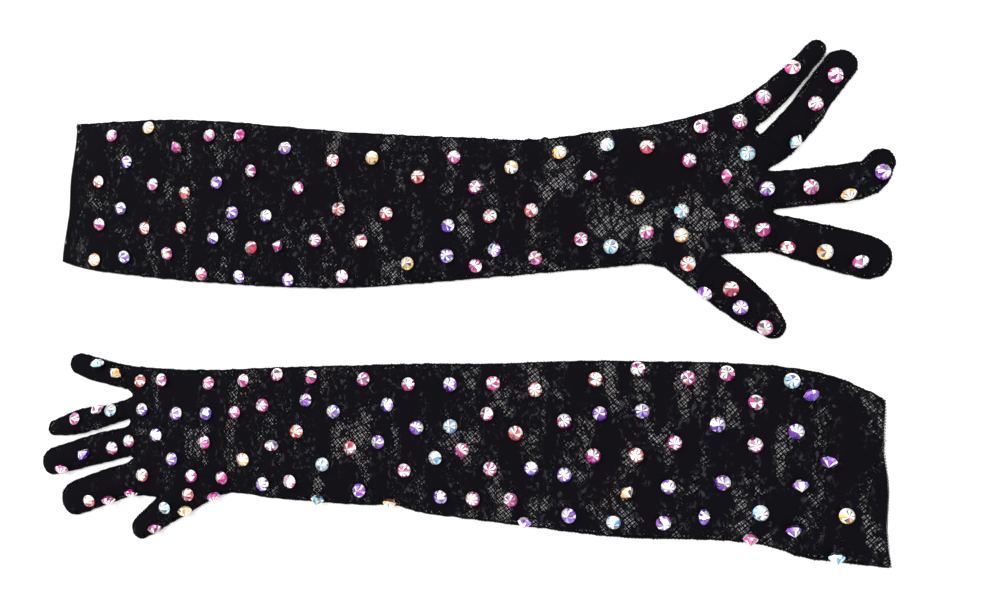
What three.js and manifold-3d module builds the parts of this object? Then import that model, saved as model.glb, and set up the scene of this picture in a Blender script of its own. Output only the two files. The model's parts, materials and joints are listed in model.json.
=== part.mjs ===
// A pair of long lace opera gloves with pointed crystals on the backs, lying flat and palm down.
//
// Each glove is a flat tube of lace. Two panels, a back and a palm, are sewn together along both
// sides, with a hem at the cuff and five fingers that end closed. The sleeve is one body and the
// hand another, because a limp glove folds across its middle, and each finger folds at its root.
// The crystals of one patch are joined by a thread, so that a patch is one piece.
//
// Millimetres, +Z up. X runs along the sleeves and Y across them.

import * as THREE from 'three';
import { mergeVertices } from 'three/addons/utils/BufferGeometryUtils.js';
import Module from 'manifold-3d';

const manifold = await Module();
manifold.setup();

// ---- Driving dimensions -------------------------------------------------------------------

const CLOTH = 1; // one layer of lace with its air
const BACK_TOP = 7; // top of the upper layer, and the height of every fold
const BACK_BASE = BACK_TOP - CLOTH;
const TOUCH_GAP = 0.3; // between pieces that are sewn or glued together
const FOLD_GAP = 0.5; // between bodies that fold
const SEAM_WIDTH = 2.4; // side seam, measured in from the edge
const HEM_DEPTH = 5; // hem at the cuff, measured along the arm
const CUFF_MARGIN = 20; // how far a cut along the cuff runs past both edges
const CUFF_CORNER = 3; // solid hem left inside each side seam
const BEYOND = 320; // further from the middle than any part of a glove
const SLICE_REACH = 400; // half the length of a box that cuts a whole glove
const FINGER_WALL = 2; // side of a finger
const EDGE_STEP = 10; // spacing of points along a sleeve edge
const FINGER_STEPS = 10; // steps along a finger's side
const TIP_STEPS = 10; // steps round a fingertip

const CRYSTAL_RADIUS = 4.3; // an 8.6 mm stone
const CRYSTAL_TABLE = 2.6; // radius of the flat face that is glued down
const CRYSTAL_CROWN = 2.1; // from the table to the widest part
const CRYSTAL_PAVILION = 3.9; // from the widest part to the point
const CRYSTAL_SIDES = 6;
const THREAD_RADIUS = 0.35;

const LACE = { color: 0x0d0d10, roughness: 0.92, metalness: 0 };
const SEAM = { color: 0x08080a, roughness: 0.8, metalness: 0 };
const GLASS = { color: 0xd9dcf2, roughness: 0.06, metalness: 0.35 };

// ---- The two gloves -----------------------------------------------------------------------
//
// outerEdge and thumbEdge run from the cuff towards the fingers, and cuff runs from the outer
// edge to the thumb edge. A finger has a root, where it folds, the heading of its first stretch
// in degrees, and stations of [along, aside, width] from that root. Aside is positive towards
// the little finger. Crystals on the panels are [x, y], and those on a finger [along, aside].

const LEFT = {
  name: 'left',
  toFingers: 1, // the fingers point to +X
  fold: 7, // x of the fold between the sleeve and the hand
  outerEdge: [
    [-267, 135.5], [-200, 134.5], [-150, 130], [-100, 123], [-49, 115.4], [0, 110],
    [40, 106], [75, 102.6], [115, 105.4], [150, 107.4], [180, 113],
  ],
  cuff: [[-267, 135.5], [-266.5, 112], [-271.3, 68], [-275, 33.5]],
  thumbEdge: [
    [-275, 33.5], [-250, 26.4], [-200, 20], [-150, 15], [-100, 11.5], [-49, 9.8], [0, 12],
    [40, 14.4], [80, 17], [115, 19], [148, 20.7], [159, 14],
  ],
  fingers: {
    thumb: {
      root: [178.5, 15.5], heading: -41,
      stations: [[0, 0, 26], [26, 0.3, 25.4], [41, 0.3, 21], [49, -0.6, 15.4]],
      crystals: [[7.4, -8.2], [17.1, 0.5], [28.2, -4.2], [45.9, -4]],
    },
    index: {
      root: [219, 37.2], heading: -18.4,
      stations: [[0, 0, 23.2], [22, 0.3, 25.2], [46, 0.6, 25.6], [51.6, 0.6, 25]],
      crystals: [[7.3, -6.5], [27.3, -3.5], [46.7, -3.6]],
    },
    middle: {
      root: [218, 63], heading: 3.9,
      stations: [[0, 0, 23.6], [22, 0.1, 22.4], [44, 0.3, 22.6], [53, 2.6, 20.6], [58.6, 9.6, 17]],
      crystals: [[19.2, -1.2], [38.7, -5.4], [58, 3.2]],
    },
    ring: {
      root: [219, 90], heading: 47,
      stations: [[0, 0, 21.6], [22, -0.3, 20.8], [40, 2.2, 19.8], [58.5, 3.8, 19.6]],
      crystals: [[7.3, -5.2], [31.3, -1], [50.5, 1.5]],
    },
    little: {
      root: [206, 111], heading: 37.7,
      stations: [[0, 0, 19], [14, 0.1, 17.8], [27, 1.2, 15.4], [40, 3, 13.4], [51, 5, 12.2]],
      crystals: [[9.5, 1.5], [33.2, 4.4]],
    },
  },
  crotches: { indexMiddle: [215, 49.4], middleRing: [214.3, 75.6], ringLittle: [208, 100.5] },
  palmHeel: [[200, 26]], // the edge between the thumb and the index finger
  sleeveCrystals: {
    outer: [
      [-241.9, 89.8], [-232.5, 122.9], [-219.2, 103.1], [-203, 126.8], [-197.4, 85.8],
      [-178.3, 110.5],
      [-154.1, 118.2], [-147.2, 84.7], [-130.9, 116.7], [-121.1, 91.4], [-95.6, 105.5],
      [-85.1, 77.5],
      [-60.4, 94.9], [-32.8, 95.3], [-0.9, 81],
    ],
    middle: [
      [-240.5, 59], [-223.2, 69.8], [-202.6, 54.7], [-173.9, 54], [-171.2, 78.5], [-148.8, 46.1],
      [-134, 62.9],
      [-119.7, 38.6], [-109, 59.8], [-98.9, 38.7], [-72.4, 41.9], [-55.6, 62], [-39.8, 40.2],
      [-22.6, 57.7],
    ],
    inner: [
      [-243.5, 33.8], [-218.5, 34.9], [-184.4, 36.4], [-157.7, 21.8], [-129, 19.4],
      [-92.5, 16.6], [-53.4, 17.8], [-7.9, 24.9],
    ],
  },
  handCrystals: {
    outer: [
      [23.2, 92.4], [60.8, 83.9], [91.3, 91.7], [110.6, 74.9], [120.9, 94.9], [144.8, 91.9],
      [169.3, 82.2], [176.9, 102.7],
      [198.6, 104.2], [202.7, 84.5],
    ],
    middle: [
      [19.5, 48.2], [37.5, 72.2], [47, 53.3], [73.5, 56], [138.5, 61.2], [143.8, 40],
      [164.4, 51.6], [190.5, 71.1],
      [192.9, 44.5], [213, 63],
    ],
    inner: [
      [18.9, 29], [37.3, 22.4], [49.9, 31.9], [75.8, 26.3], [104.5, 36.7], [122.3, 31.8],
      [164.1, 37.2], [167.7, 20.3],
      [210.3, 39.2],
    ],
  },
};

const RIGHT = {
  name: 'right',
  toFingers: -1,
  fold: 6,
  outerEdge: [
    [274, -58.3], [252, -47.4], [232, -42], [200, -38.8], [150, -37.4], [100, -37.4], [50, -39.2],
    [0, -39.4], [-59, -41.3], [-100, -42.4], [-150, -44.3], [-185, -43.8],
  ],
  cuff: [[274, -58.3], [271.5, -88], [274, -108.6], [272, -135], [273.6, -151.7]],
  thumbEdge: [
    [273.6, -151.7], [250, -150.3], [228, -148.8], [208, -143], [180, -141.7], [126, -143],
    [76, -140], [38, -137.3], [0, -134], [-17, -130.6], [-49, -131.2], [-100, -129.7],
    [-133.6, -127.2], [-150, -133.5], [-166, -143],
  ],
  fingers: {
    thumb: {
      root: [-184.4, -141.2], heading: -144.2,
      stations: [[0, 0, 20.6], [11, 0, 19], [20.6, 0.3, 16.6]],
      crystals: [[8.8, -4.6]],
    },
    index: {
      root: [-213, -121.3], heading: -163.9,
      stations: [[0, 0, 23.4], [20, -0.3, 24.2], [40, -1.6, 24.6], [45, -2, 23.8]],
      crystals: [[14.9, -7.2], [31, -6.3]],
    },
    middle: {
      root: [-215.2, -95.1], heading: -167.3,
      stations: [[0, 0, 20.8], [20.5, -0.2, 22], [42, -1, 21], [62, -1.8, 19.4]],
      crystals: [[9.3, -1.9], [31.3, -2], [52, -6]],
    },
    ring: {
      root: [-216.8, -72.9], heading: -163.6,
      stations: [[0, 0, 13.8], [18, 0.5, 15.4], [34, 1.8, 17.8], [49, 2.5, 15.8], [60.5, 3.2, 11.4]],
      crystals: [[9.1, 2.2], [18.6, 3.3], [39, 4.2]],
    },
    little: {
      root: [-215, -50.4], heading: 167.7,
      stations: [[0, 0, 17], [16, -0.5, 16.8], [33, -0.1, 17], [43.4, 0.4, 15.4]],
      crystals: [[7.5, 1.5], [24.2, 2.3]],
    },
  },
  crotches: {
    indexMiddle: [-208.6, -105.4], middleRing: [-213, -81.6], ringLittle: [-211.6, -62.7],
  },
  palmHeel: [[-200, -132]],
  sleeveCrystals: {
    outer: [
      [21.3, -52.7], [49.2, -51.8], [75.4, -55.5], [112.3, -48.8], [137.5, -42.6],
      [166.5, -47.7], [188.5, -44.8],
      [204.1, -61.1], [224.1, -48.8], [234, -56.7],
    ],
    middle: [
      [12.1, -98.2], [21.8, -78.8], [29.3, -93.1], [45.2, -70.5], [63.5, -81.8], [93.4, -73.9],
      [110.7, -94.3], [114.8, -69],
      [136, -92.9], [139.8, -67.1], [158.2, -85.3], [182.6, -74.1], [203.2, -85.3],
      [225.5, -77.1], [241.9, -93.3],
    ],
    inner: [
      [15.5, -122.4], [36.1, -122.8], [47.1, -104.1], [60, -122.4], [68.9, -132.8], [73, -103],
      [93.2, -106.1],
      [95.7, -130], [122.1, -132.8], [130.2, -114.7], [151.2, -131.9], [154.4, -110.8],
      [174.1, -126.8],
      [185, -107.4], [199.4, -135.8], [205.3, -123.4], [222.4, -132.2], [226.8, -106.9],
      [244.9, -143.7],
      [250.6, -122.9],
    ],
  },
  handCrystals: {
    outer: [
      [-202.9, -52.5], [-186.3, -52], [-149.5, -53.7], [-123.3, -51.8], [-99.4, -47.6],
      [-74.2, -49],
      [-37.1, -50], [-6.8, -52.9],
    ],
    middle: [
      [-200.3, -72], [-210.5, -94], [-187.7, -89.2], [-173, -74.3], [-151, -93], [-150.4, -73.9],
      [-128.6, -72.8],
      [-108.5, -67.8], [-100.2, -93.6], [-83.1, -84.3], [-77.1, -63.8], [-57.2, -70.9],
      [-45.7, -94], [-26.3, -89.6],
      [-20.1, -65.8], [-0.2, -79.9],
    ],
    inner: [
      [-206.4, -126.4], [-197.9, -116.6], [-175, -105], [-180.2, -138], [-165.9, -137.4],
      [-163.2, -128.7], [-160.5, -116], [-144.6, -126.9], [-137.8, -116.4],
      [-121.9, -103.7], [-107.5, -119.2], [-87.8, -116.8], [-67.5, -124.9], [-64.7, -105.1],
      [-39.1, -120.7],
      [-18.1, -124.9], [-8.6, -107],
    ],
  },
};

// ---- Solids: three.js geometry in, cut and joined, three.js geometry out --------------------

function toSolid(geometry) {
  const bare = geometry.index ? geometry.toNonIndexed() : geometry.clone();
  bare.deleteAttribute('normal');
  bare.deleteAttribute('uv');
  const merged = mergeVertices(bare, 1e-3);
  return new manifold.Manifold(new manifold.Mesh({
    numProp: 3,
    vertProperties: merged.attributes.position.array,
    triVerts: new Uint32Array(merged.index.array),
  }));
}

function toGeometry(solid) {
  const { vertProperties, triVerts } = solid.getMesh();
  const geometry = new THREE.BufferGeometry();
  geometry.setAttribute('position', new THREE.Float32BufferAttribute(vertProperties, 3));
  geometry.setIndex(new THREE.Uint32BufferAttribute(triVerts, 1));
  const flat = geometry.toNonIndexed();
  flat.computeVertexNormals();
  return flat;
}

// A flat piece: an outline raised from one height to another.
function slab(outline, base, top) {
  const shape = new THREE.Shape(outline);
  const geometry = new THREE.ExtrudeGeometry(shape, { depth: top - base, bevelEnabled: false });
  return toSolid(geometry.translate(0, 0, base));
}

// A box that holds all of a solid between two x values.
function slice(xFrom, xTo) {
  const geometry = new THREE.BoxGeometry(Math.abs(xTo - xFrom), 2 * SLICE_REACH, SLICE_REACH);
  return toSolid(geometry.translate((xFrom + xTo) / 2, 0, 0));
}

const points = (pairs) => pairs.map(([x, y]) => new THREE.Vector2(x, y));

function smooth(pairs, step) {
  const curve = new THREE.SplineCurve(points(pairs));
  return curve.getSpacedPoints(Math.max(2, Math.round(curve.getLength() / step)));
}

// ---- Fingers ------------------------------------------------------------------------------

// Places a point of a finger, given along and aside from its root, in the flat pair.
function fingerPlace(glove, finger, along, aside) {
  const turn = THREE.MathUtils.degToRad(finger.heading);
  const towardsLittle = aside * glove.toFingers;
  return new THREE.Vector2(
    finger.root[0] + along * Math.cos(turn) - towardsLittle * Math.sin(turn),
    finger.root[1] + along * Math.sin(turn) + towardsLittle * Math.cos(turn),
  );
}

// The finger's outline, from its root round the tip and back, narrowed by inset on every side.
function fingerOutline(glove, finger, inset, start) {
  const stations = finger.stations.map(([along, aside, width]) => (
    new THREE.Vector3(along, aside, width / 2 - inset)));
  stations[0].x = start;
  const spine = new THREE.CatmullRomCurve3(stations, false, 'centripetal');
  const littleSide = [];
  const thumbSide = [];
  for (let i = 0; i <= FINGER_STEPS; i += 1) {
    const at = spine.getPoint(i / FINGER_STEPS);
    const ahead = spine.getTangent(i / FINGER_STEPS);
    const turn = i === 0 ? 0 : Math.atan2(ahead.y, ahead.x);
    const across = [-Math.sin(turn) * at.z, Math.cos(turn) * at.z];
    littleSide.push([at.x + across[0], at.y + across[1]]);
    thumbSide.push([at.x - across[0], at.y - across[1]]);
  }
  const end = stations.at(-1);
  const ahead = spine.getTangent(1);
  const endTurn = Math.atan2(ahead.y, ahead.x);
  const tip = [];
  for (let i = 1; i < TIP_STEPS; i += 1) {
    const angle = endTurn + Math.PI / 2 - (Math.PI * i) / TIP_STEPS;
    tip.push([end.x + end.z * Math.cos(angle), end.y + end.z * Math.sin(angle)]);
  }
  const round = [...littleSide, ...tip, ...thumbSide.reverse()];
  return round.map(([along, aside]) => fingerPlace(glove, finger, along, aside));
}

// The two corners of a finger's root on the hand, thumb side first.
function rootCorners(glove, finger) {
  const half = finger.stations[0][2] / 2;
  return [-half, half].map((aside) => fingerPlace(glove, finger, -FOLD_GAP / 2, aside));
}

// ---- Crystals -----------------------------------------------------------------------------

const CRYSTAL_BASE = BACK_TOP + TOUCH_GAP;

function crystal([x, y]) {
  const girdle = CRYSTAL_BASE + CRYSTAL_CROWN;
  const profile = points([
    [0, CRYSTAL_BASE],
    [CRYSTAL_TABLE, CRYSTAL_BASE],
    [CRYSTAL_RADIUS, girdle],
    [0, girdle + CRYSTAL_PAVILION],
  ]);
  const geometry = new THREE.LatheGeometry(profile, CRYSTAL_SIDES);
  return toSolid(geometry.rotateX(Math.PI / 2).translate(x, y, 0));
}

// A thin thread from one crystal to the next, just above the lace.
function thread(from, to) {
  const a = new THREE.Vector3(...from, CRYSTAL_BASE + THREAD_RADIUS);
  const b = new THREE.Vector3(...to, CRYSTAL_BASE + THREAD_RADIUS);
  const geometry = new THREE.CylinderGeometry(THREAD_RADIUS, THREAD_RADIUS, a.distanceTo(b), 3);
  const along = new THREE.Vector3().subVectors(b, a).normalize();
  geometry.applyQuaternion(new THREE.Quaternion().setFromUnitVectors(new THREE.Vector3(0, 1, 0), along));
  return toSolid(geometry.translate(...a.add(b).multiplyScalar(0.5)));
}

function crystalPatch(places) {
  return places.reduce((patch, place, i) => {
    const stone = crystal(place);
    return i === 0 ? stone : patch.add(thread(places[i - 1], place)).add(stone);
  }, null);
}

// ---- One glove ----------------------------------------------------------------------------

function makeGlove(glove) {
  const group = new THREE.Group();
  const { fingers, crotches, toFingers } = glove;

  function piece(name, solid, finish) {
    const mesh = new THREE.Mesh(toGeometry(solid), new THREE.MeshStandardMaterial(finish));
    mesh.name = `${glove.name}_${name}`;
    group.add(mesh);
  }

  const outerEdge = smooth([...glove.outerEdge, rootCorners(glove, fingers.little)[1]
    .toArray()], EDGE_STEP);
  const thumbEdge = smooth([...glove.thumbEdge, rootCorners(glove, fingers.thumb)[0]
    .toArray()], EDGE_STEP);
  const cuff = smooth(glove.cuff, EDGE_STEP);

  // The whole flat blank, from the cuff to the roots of the fingers.
  const blankOutline = [
    ...outerEdge.slice(0, -1),
    ...rootCorners(glove, fingers.little).reverse(),
    ...points([crotches.ringLittle]),
    ...rootCorners(glove, fingers.ring).reverse(),
    ...points([crotches.middleRing]),
    ...rootCorners(glove, fingers.middle).reverse(),
    ...points([crotches.indexMiddle]),
    ...rootCorners(glove, fingers.index).reverse(),
    ...points(glove.palmHeel),
    ...rootCorners(glove, fingers.thumb).reverse(),
    ...thumbEdge.slice(0, -1).reverse(),
    ...cuff.slice(1, -1).reverse(),
  ];

  const beyond = BEYOND * toFingers;
  const sleeveSide = slice(-beyond, glove.fold - (FOLD_GAP / 2) * toFingers);
  const handSide = slice(glove.fold + (FOLD_GAP / 2) * toFingers, beyond);

  // All that lies outside the cuff's edge, and the given depth inside it.
  function cuffZone(depth) {
    const line = cuff.map(({ x, y }) => new THREE.Vector2(x + depth * toFingers, y));
    const [first, last] = [line[0], line.at(-1)];
    const corners = points([
      [first.x, first.y + CUFF_MARGIN],
      [-beyond, first.y + CUFF_MARGIN],
      [-beyond, last.y - CUFF_MARGIN],
      [last.x, last.y - CUFF_MARGIN],
    ]);
    return slab([...corners, ...line.reverse()], -CLOTH, BACK_TOP + CLOTH);
  }

  const pastHem = cuffZone(HEM_DEPTH + TOUCH_GAP);

  function panels(base, top) {
    const whole = slab(blankOutline, base, top);
    return {
      sleeve: whole.intersect(sleeveSide).subtract(pastHem),
      hand: whole.intersect(handSide),
    };
  }

  // A strip that follows an edge, on its inner side, between the two layers.
  function seamStrip(edge, inward) {
    const inner = edge.map((point, i) => {
      const before = edge[Math.max(i - 1, 0)];
      const after = edge[Math.min(i + 1, edge.length - 1)];
      const along = new THREE.Vector2().subVectors(after, before).normalize();
      const across = new THREE.Vector2(-along.y, along.x).multiplyScalar(SEAM_WIDTH * inward);
      return point.clone().add(across);
    });
    return slab([...edge, ...inner.reverse()], CLOTH + TOUCH_GAP, BACK_BASE - TOUCH_GAP);
  }

  const back = panels(BACK_BASE, BACK_TOP);
  const palm = panels(0, CLOTH);
  const outerSeam = seamStrip(outerEdge, -toFingers);
  const thumbSeam = seamStrip(thumbEdge, toFingers);

  piece('sleeve_back_panel', back.sleeve, LACE);
  piece('sleeve_palm_panel', palm.sleeve, LACE);
  piece('sleeve_outer_seam', outerSeam.intersect(sleeveSide).subtract(pastHem), SEAM);
  piece('sleeve_thumb_seam', thumbSeam.intersect(sleeveSide).subtract(pastHem), SEAM);
  piece('hand_back_panel', back.hand, LACE);
  piece('hand_palm_panel', palm.hand, LACE);
  piece('hand_outer_seam', outerSeam.intersect(handSide), SEAM);
  piece('hand_thumb_seam', thumbSeam.intersect(handSide), SEAM);

  // The hem is a flat band right round the cuff, open from end to end.
  const band = slab(blankOutline, 0, BACK_TOP).intersect(cuffZone(HEM_DEPTH));
  const [hemOuter, hemInner] = [glove.cuff[0][1], glove.cuff.at(-1)[1]];
  const wayIn = new THREE.BoxGeometry(
    2 * CUFF_MARGIN,
    Math.abs(hemOuter - hemInner) - 2 * (SEAM_WIDTH + CUFF_CORNER),
    BACK_BASE - CLOTH,
  ).translate(glove.cuff[0][0], (hemOuter + hemInner) / 2, BACK_TOP / 2);
  piece('cuff_hem', band.subtract(toSolid(wayIn)), SEAM);

  for (const [name, finger] of Object.entries(fingers)) {
    const outline = fingerOutline(glove, finger, 0, FOLD_GAP / 2);
    const inside = fingerOutline(glove, finger, FINGER_WALL, -1);
    const tray = slab(outline, 0, BACK_BASE - TOUCH_GAP).subtract(slab(inside, CLOTH, BACK_TOP));
    piece(`${name}_back`, slab(outline, BACK_BASE, BACK_TOP), LACE);
    piece(`${name}_palm`, tray, LACE);
    const places = finger.crystals
      .map(([along, aside]) => fingerPlace(glove, finger, along, aside).toArray());
    piece(`${name}_crystals`, crystalPatch(places), GLASS);
  }
  for (const [side, places] of Object.entries(glove.sleeveCrystals)) {
    piece(`sleeve_crystals_${side}`, crystalPatch(places), GLASS);
  }
  for (const [side, places] of Object.entries(glove.handCrystals)) {
    piece(`hand_crystals_${side}`, crystalPatch(places), GLASS);
  }
  return group;
}

// ---- The pair, with its origin under the middle of its box -----------------------------------

const pair = new THREE.Group();
pair.add(makeGlove(LEFT), makeGlove(RIGHT));

const middle = new THREE.Box3().setFromObject(pair).getCenter(new THREE.Vector3());
pair.children.forEach((glove) => glove.position.set(-middle.x, -middle.y, 0));

export default pair;
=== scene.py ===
# %% [markdown]
# # A pair of long lace gloves, set with pointed crystals
#
# Two opera gloves lie flat on a white table, palms down. Each one is a flat tube of black
# stretch lace, two layers thick, that ends in five sewn fingers. Loose-cut crystals are glued
# by their flat faces all over the backs, points up. The lesson builds them in the order in
# which a maker would: cut the lace, sew it, lay it down, and then glue on the stones.
#
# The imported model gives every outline, fold line and stone its place. Nothing here is placed
# by eye: the lace is cut from the outlines of the model's panels, and each stone is seated
# below the point where the model's stone has its tip.

# %% Load the frame
import json
import math
import random

import bmesh
import bpy
from mathutils import Matrix, Vector, kdtree, noise
from mathutils.bvhtree import BVHTree
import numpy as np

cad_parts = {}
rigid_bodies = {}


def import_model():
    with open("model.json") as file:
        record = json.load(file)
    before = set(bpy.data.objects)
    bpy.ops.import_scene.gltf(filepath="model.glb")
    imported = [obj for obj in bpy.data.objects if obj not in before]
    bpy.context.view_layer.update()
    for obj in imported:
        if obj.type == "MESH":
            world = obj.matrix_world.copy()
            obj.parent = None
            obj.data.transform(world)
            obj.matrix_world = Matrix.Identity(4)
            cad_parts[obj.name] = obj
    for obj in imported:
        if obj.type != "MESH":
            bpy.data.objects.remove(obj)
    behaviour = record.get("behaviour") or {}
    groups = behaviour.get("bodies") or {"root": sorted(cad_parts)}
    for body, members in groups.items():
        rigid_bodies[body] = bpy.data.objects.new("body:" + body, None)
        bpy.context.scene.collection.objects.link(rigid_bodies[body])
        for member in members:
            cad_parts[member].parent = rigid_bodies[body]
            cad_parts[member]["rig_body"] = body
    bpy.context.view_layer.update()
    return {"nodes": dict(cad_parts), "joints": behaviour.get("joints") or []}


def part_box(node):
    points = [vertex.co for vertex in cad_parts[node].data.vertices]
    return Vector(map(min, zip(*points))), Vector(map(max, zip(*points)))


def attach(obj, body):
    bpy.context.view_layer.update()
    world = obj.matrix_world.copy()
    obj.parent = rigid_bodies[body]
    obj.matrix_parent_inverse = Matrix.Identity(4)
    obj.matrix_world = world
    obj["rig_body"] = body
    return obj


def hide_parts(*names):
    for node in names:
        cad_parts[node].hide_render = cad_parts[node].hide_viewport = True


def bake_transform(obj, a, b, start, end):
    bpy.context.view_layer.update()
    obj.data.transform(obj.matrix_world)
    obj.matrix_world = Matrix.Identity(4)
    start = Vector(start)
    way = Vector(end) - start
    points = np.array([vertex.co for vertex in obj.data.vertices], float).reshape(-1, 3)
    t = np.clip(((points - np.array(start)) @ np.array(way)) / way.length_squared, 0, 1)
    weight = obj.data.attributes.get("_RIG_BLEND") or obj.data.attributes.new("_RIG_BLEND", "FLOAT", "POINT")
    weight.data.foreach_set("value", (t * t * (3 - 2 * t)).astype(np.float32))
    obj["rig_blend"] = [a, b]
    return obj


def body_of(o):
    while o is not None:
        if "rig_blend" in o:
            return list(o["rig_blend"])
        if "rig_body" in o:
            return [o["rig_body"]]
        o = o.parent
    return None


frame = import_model()
nodes = frame["nodes"]
joints = {joint["name"]: joint for joint in frame["joints"]}

MM = 0.001
GLOVES = ("left", "right")
FINGERS = ("thumb", "index", "middle", "ring", "little")
TO_FINGERS = {"left": 1, "right": -1}  # which way along X the fingers point

# %% [markdown]
# ## Cutting the lace
#
# On the cutting table a glove's back is one flat shape from the cuff to the fingertips. The
# model has it in regions, because a region is what a joint moves: cuff, sleeve, hand and five
# fingers. The top faces of those eight nodes are gathered into one bmesh. Corners that lie on a
# straight line are dissolved first, and then each corner is welded to its neighbour's across
# the model's small gaps, so that two regions share one edge and no crack is left between them.
# A region keeps its number as a material index.
#
# Cloth needs many small faces to bend. Repeated `bisect_plane` cuts rule a square grid over
# the whole shape, and every cut crosses region lines without leaving a crack. Where a fold will
# come, the cuts lie closer.

# %% A flat blank with a grid over it
REGIONS = ("cuff", "sleeve", "hand") + FINGERS
WELD = 0.7 * MM  # wider than the small gaps that the model leaves between its panels
STRAIGHT = math.radians(0.3)  # a corner that turns less than this is dissolved
CUT_SNAP = 0.02 * MM  # a corner nearer to a cut than this lies on it
CLOTH_STEP = 2.6 * MM
ARM_BEND = 5.5 * MM  # half the length of cloth that bends across the arm
FINGER_BEND = 5 * MM  # the length of cloth that bends at a finger's root


def region_node(glove, region):
    """The node whose top face is this region's outline."""
    if region == "cuff":
        return f"{glove}_cuff_hem"
    if region in FINGERS:
        return f"{glove}_{region}_back"
    return f"{glove}_{region}_back_panel"


def top_face(node, number):
    """The flat top of a node as a mesh with one face, laid at height zero."""
    bm = bmesh.new()
    bm.from_mesh(nodes[node].data)
    bmesh.ops.remove_doubles(bm, verts=bm.verts, dist=0.001 * MM)
    bm.normal_update()
    top = max(v.co.z for v in bm.verts)
    rest = [f for f in bm.faces if min(v.co.z for v in f.verts) < top - 0.01 * MM]
    bmesh.ops.delete(bm, geom=rest, context="FACES")
    bmesh.ops.dissolve_faces(bm, faces=bm.faces)
    bmesh.ops.delete(bm, geom=[v for v in bm.verts if not v.link_faces], context="VERTS")
    straight = [v for v in bm.verts if v.calc_edge_angle(1) < STRAIGHT]
    bmesh.ops.dissolve_verts(bm, verts=straight)
    for v in bm.verts:
        v.co.z = 0
    for f in bm.faces:
        f.material_index = number
    mesh = bpy.data.meshes.new("outline")
    bm.to_mesh(mesh)
    bm.free()
    return mesh


def region_of(vert):
    """The first region that a corner belongs to."""
    return min(f.material_index for f in vert.link_faces)


def weld_regions(bm):
    """Joins each corner to the nearest corner of a neighbouring region, across the model's gaps."""
    corners = list(bm.verts)
    tree = kdtree.KDTree(len(corners))
    for i, corner in enumerate(corners):
        tree.insert(corner.co, i)
    tree.balance()
    targets = {}
    for corner in corners:
        near = [(region_of(corners[i]), gap, i) for _, i, gap in tree.find_range(corner.co, WELD)]
        region, _, nearest = min(near)
        if region < region_of(corner):
            targets[corner] = corners[nearest]
    bmesh.ops.weld_verts(bm, targetmap=targets)


def whole(bm):
    return bm.verts[:] + bm.edges[:] + bm.faces[:]


def cut_across(bm, geom, place, heading):
    """Rules one cut at right angles to a heading."""
    bmesh.ops.bisect_plane(bm, geom=geom, dist=CUT_SNAP, plane_co=place, plane_no=heading)


def grid_cuts(bm, axis, step):
    """Rules the mesh with parallel cuts across an axis."""
    low = min(v.co[axis] for v in bm.verts)
    high = max(v.co[axis] for v in bm.verts)
    normal = Vector((0, 0, 0))
    normal[axis] = 1
    for i in range(1, math.ceil((high - low) / step)):
        at = Vector((0, 0, 0))
        at[axis] = low + i * step
        cut_across(bm, whole(bm), at, normal)


def fold_cuts(bm, glove):
    """Rules close cuts where the lace bends: across the arm, and beyond each finger's root."""
    centre = Vector(joints[f"{glove}_arm_fold"]["pos_m"])
    for i in range(-4, 5):
        place = centre + Vector((i * ARM_BEND / 4, 0, 0))
        cut_across(bm, whole(bm), place, Vector((1, 0, 0)))
    for finger in FINGERS:
        hinge = joints[f"{glove}_{finger}_fold"]
        heading = Vector((0, 0, 1)).cross(Vector(hinge["axis"]))
        for i in range(1, 5):
            faces = [f for f in bm.faces if f.material_index == REGIONS.index(finger)]
            geom = {g for f in faces for g in (f, *f.verts, *f.edges)}
            place = Vector(hinge["pos_m"]) + heading * (i * FINGER_BEND / 4)
            cut_across(bm, list(geom), place, heading)


def cut_blank(glove):
    bm = bmesh.new()
    for number, region in enumerate(REGIONS):
        mesh = top_face(region_node(glove, region), number)
        bm.from_mesh(mesh)
        bpy.data.meshes.remove(mesh)
    weld_regions(bm)
    grid_cuts(bm, 0, CLOTH_STEP)
    grid_cuts(bm, 1, CLOTH_STEP)
    fold_cuts(bm, glove)
    bm.normal_update()
    for f in bm.faces:
        if f.normal.z < 0:
            f.normal_flip()
    return bm


blanks = {glove: cut_blank(glove) for glove in GLOVES}
for glove, bm in blanks.items():
    rim = sum(e.is_boundary for e in bm.edges)
    print(glove, "blank:", len(bm.faces), "faces,", rim, "edge steps")

# %% [markdown]
# ## Laying the glove down
#
# A glove on a table is two layers of cloth that meet only at the side seams. The palm rests on
# the table and the back arches over a little air, as a cushion that has nearly gone flat. The
# height depends on one thing above all: how far a point is from the nearest seam. A k-d tree of
# points along the seams answers that for every vertex of the blank.
#
# Soft waves come from a noise function. They are long and low in the middle, and short
# puckers run in from the stitches. Cloth simulation could do this too, but the arch is only five
# millimetres high, and a formula puts the folds and the seams exactly where the joints need them.

# %% The shape of cloth that lies flat
SEAM_HEIGHT = 1.5 * MM  # where the two layers meet
TABLE_GAP = 0.15 * MM  # under the palm
ARCH = 4.2 * MM  # rise of the back over its seams
ARCH_REACH = 6.5 * MM  # how soon the arch is reached
PALM_REACH = 4 * MM
CUFF_REACH = 34 * MM  # the arch sinks towards the open cuff
WAVE = 1.0 * MM
PUCKER = 0.45 * MM
WOBBLE = 0.6 * MM  # unevenness of the stitched edge
EDGE_FADE = 2 * MM  # how soon that unevenness is gone
SEAM_WANDER = 0.5 * MM  # up and down
PUCKER_REACH = 7 * MM
SEAM_SAMPLES = 6  # on each edge of the blank
SEAM_INSET = 0.7 * MM  # from the outline to the middle of the stitches
INSET_FADE = 3 * MM


def ease(value):
    value = min(1, max(0, value))
    return value * value * (3 - 2 * value)


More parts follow.
